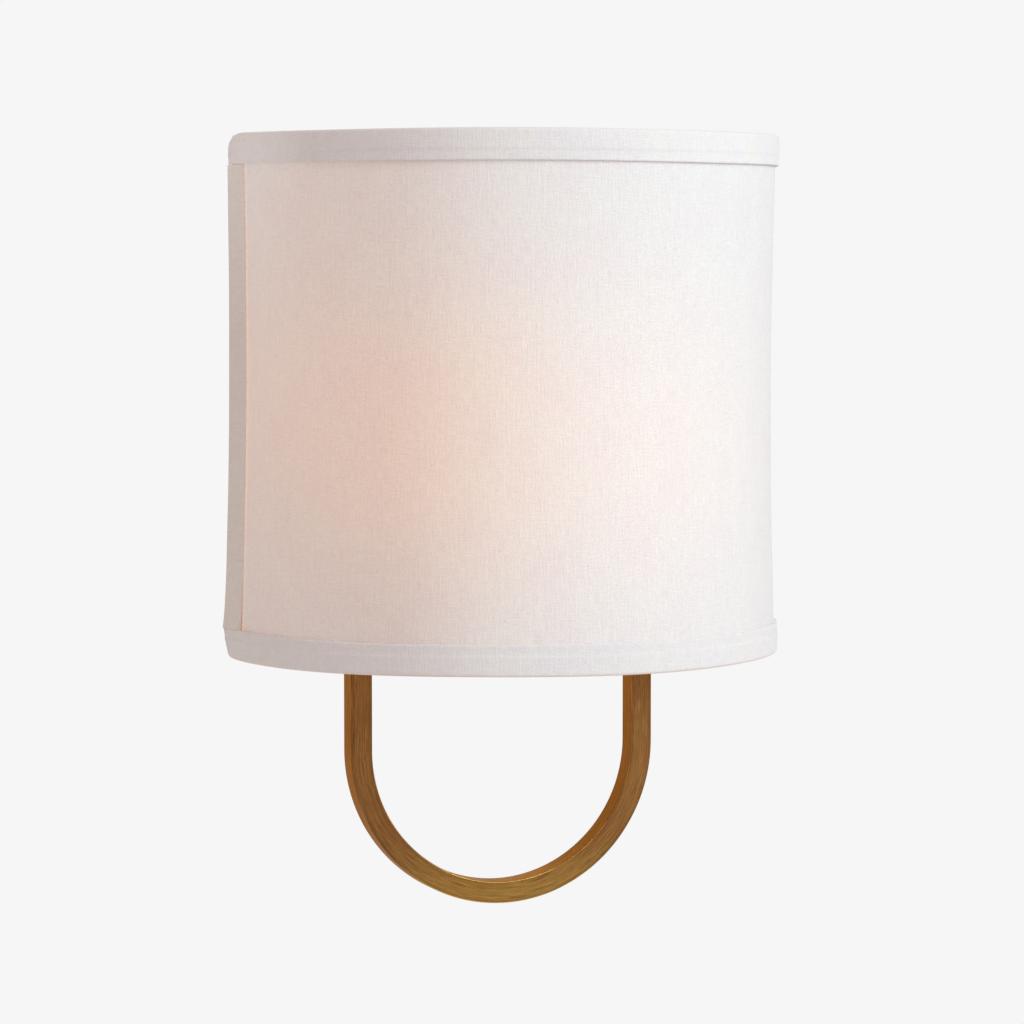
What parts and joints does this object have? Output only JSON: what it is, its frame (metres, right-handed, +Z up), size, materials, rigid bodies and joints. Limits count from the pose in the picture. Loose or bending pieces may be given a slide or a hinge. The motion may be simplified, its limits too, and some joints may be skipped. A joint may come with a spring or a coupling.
{
  "type": "fabric shade wall light",
  "caption": "Two-lamp wall light with a half-round bound fabric shade in front of a U-shaped brushed brass bar.",
  "frame": {"origin": "on the wall plane at the middle of the canopy, between the two box-screw slots, level with the middle of the shade", "axes": "+X to the right as seen from the room, +Y into the wall, +Z up; the front faces -Y"},
  "size_m": [0.276, 0.147, 0.3805],
  "materials": {
    "antique_brass": "antique brushed brass, satin",
    "zinc_steel": "zinc plated",
    "earth_green": "green dyed steel",
    "white_frame": "white powder coat",
    "linen": "plain woven off-white linen",
    "linen_binding": "folded linen binding",
    "shade_liner": "translucent white backing sheet",
    "candle_card": "satin ivory sleeve",
    "holder_plastic": "black moulded insulator",
    "nickel": "nickel plated",
    "contact_metal": "soldered contact in black glass",
    "bulb_glass": "soft frosted",
    "filament": "warm lit filament on a glass stem",
    "lead_insulation": "white insulated pair",
    "connector_plastic": "orange moulded connector"
  },
  "bodies": {
    "wall_frame": {"candle_sleeve_left": "candle_card", "candle_sleeve_right": "candle_card", "canopy": "antique_brass", "cap_nut_lower": "antique_brass", "cap_nut_upper": "antique_brass", "centre_locknut": "zinc_steel", "centre_nipple": "zinc_steel", "cross_arm": "antique_brass", "cross_arm_plug_left": "antique_brass", "cross_arm_plug_right": "antique_brass", "ground_screw": "earth_green", "holder_contact_left": "nickel", "holder_contact_right": "nickel", "lamp_arm_left": "antique_brass", "lamp_arm_plug_left": "antique_brass", "lamp_arm_plug_right": "antique_brass", "lamp_arm_right": "antique_brass", "lamp_cup_left": "antique_brass", "lamp_cup_right": "antique_brass", "lamp_holder_left": "holder_plastic", "lamp_holder_right": "holder_plastic", "lamp_nipple_left": "zinc_steel", "lamp_nipple_right": "zinc_steel", "lead_left": "lead_insulation", "lead_right": "lead_insulation", "leg_cap_left": "antique_brass", "leg_cap_right": "antique_brass", "mounting_strap": "zinc_steel", "screw_shell_left": "nickel", "screw_shell_right": "nickel", "shade_studs": "zinc_steel", "strap_studs": "zinc_steel", "stud_nuts": "zinc_steel", "u_bar": "antique_brass", "wire_connector_left": "connector_plastic", "wire_connector_right": "connector_plastic"},
    "shade": {"shade_fabric": "linen", "shade_liner": "shade_liner", "binding_top": "linen_binding", "binding_bottom": "linen_binding", "side_binding_left": "linen_binding", "side_binding_right": "linen_binding", "rim_wire_top": "white_frame", "rim_wire_bottom": "white_frame", "upright_left": "white_frame", "upright_right": "white_frame", "shade_hanger": "white_frame"},
    "bulb_left": {"bulb_glass_left": "bulb_glass", "bulb_cap_left": "nickel", "bulb_contact_left": "contact_metal", "bulb_filament_left": "filament"},
    "thumb_nut_left": {"thumb_nut_left": "antique_brass"},
    "bulb_right": {"bulb_glass_right": "bulb_glass", "bulb_cap_right": "nickel", "bulb_contact_right": "contact_metal", "bulb_filament_right": "filament"},
    "thumb_nut_right": {"thumb_nut_right": "antique_brass"}
  },
  "joints": [
    {"name": "shade_lift", "type": "slide", "parent": "wall_frame", "child": "shade", "axis": [0, 0, 1], "range_m": [0, 0.01]},
    {"name": "bulb_left_turn", "type": "hinge", "parent": "wall_frame", "child": "bulb_left", "pos_m": [-0.0735, -0.057, -0.05], "axis": [0, 0, 1], "range_deg": [0, 1440]},
    {"name": "thumb_nut_left_turn", "type": "hinge", "parent": "wall_frame", "child": "thumb_nut_left", "pos_m": [-0.04, -0.035, 0], "axis": [0, -1, 0], "range_deg": [0, 720]},
    {"name": "bulb_right_turn", "type": "hinge", "parent": "wall_frame", "child": "bulb_right", "pos_m": [0.0735, -0.057, -0.05], "axis": [0, 0, 1], "range_deg": [0, 1440]},
    {"name": "thumb_nut_right_turn", "type": "hinge", "parent": "wall_frame", "child": "thumb_nut_right", "pos_m": [0.04, -0.035, 0], "axis": [0, -1, 0], "range_deg": [0, 720]}
  ]
}
